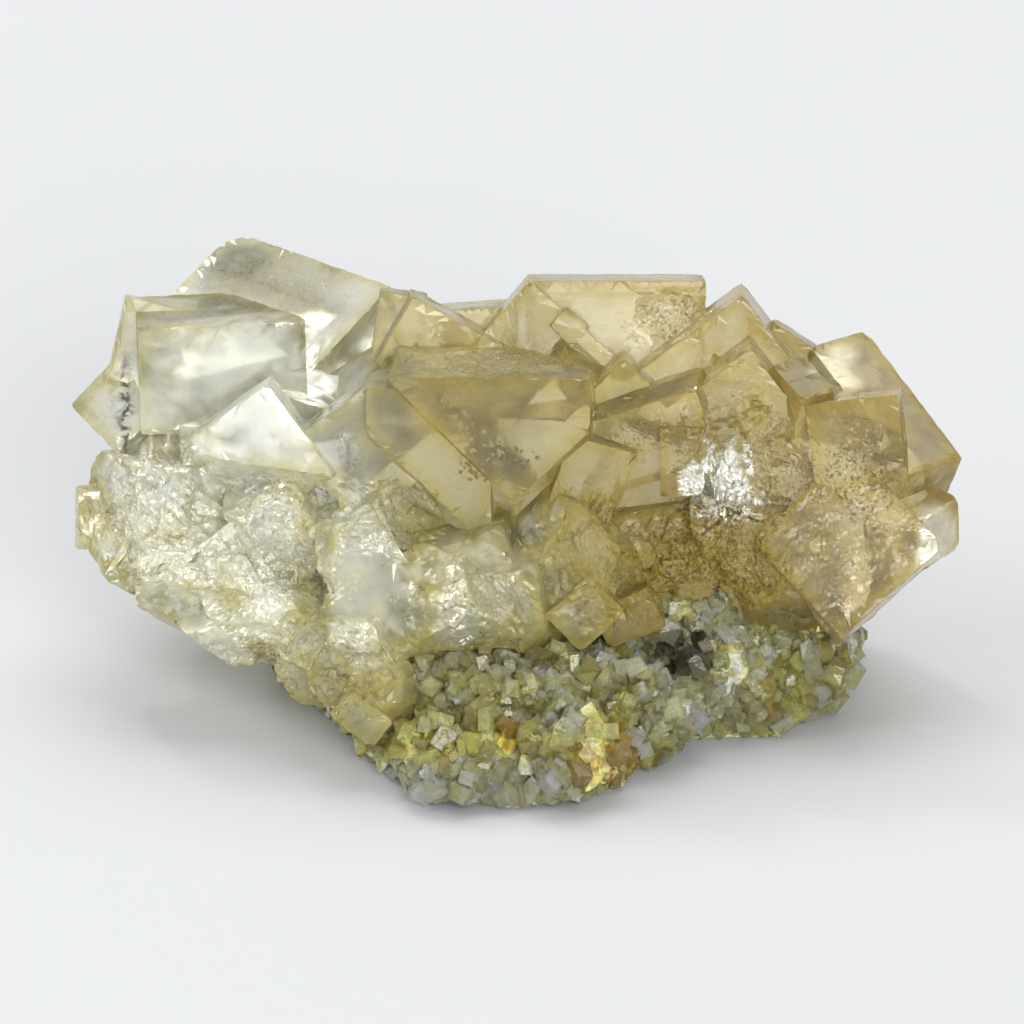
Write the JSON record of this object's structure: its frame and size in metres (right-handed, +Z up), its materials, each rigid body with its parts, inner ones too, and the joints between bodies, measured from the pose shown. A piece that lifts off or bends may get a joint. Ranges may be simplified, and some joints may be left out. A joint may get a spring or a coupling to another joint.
{
  "type": "fluorite specimen",
  "caption": "Cabinet mineral specimen: cluster of clear pale green to honey fluorite cubes on a low piece of grey-green drusy matrix with a flat underside.",
  "frame": {"origin": "middle of the specimen's bounding box, on the flat underside of the matrix", "axes": "+Z up from the underside; +X along the specimen's longest side, to the right as seen from the display side; the display side faces -Y"},
  "size_m": [0.1012, 0.072, 0.0459],
  "materials": {
    "fluorite": "clear pale green to honey crystal with glossy flat faces and frosted broken ones",
    "drusy_rock": "grey-green sparkling druse on rough rock, stained ochre in places"
  },
  "bodies": {
    "root": {"fluorite_crystals": "fluorite", "drusy_matrix": "drusy_rock"}
  },
  "joints": []
}
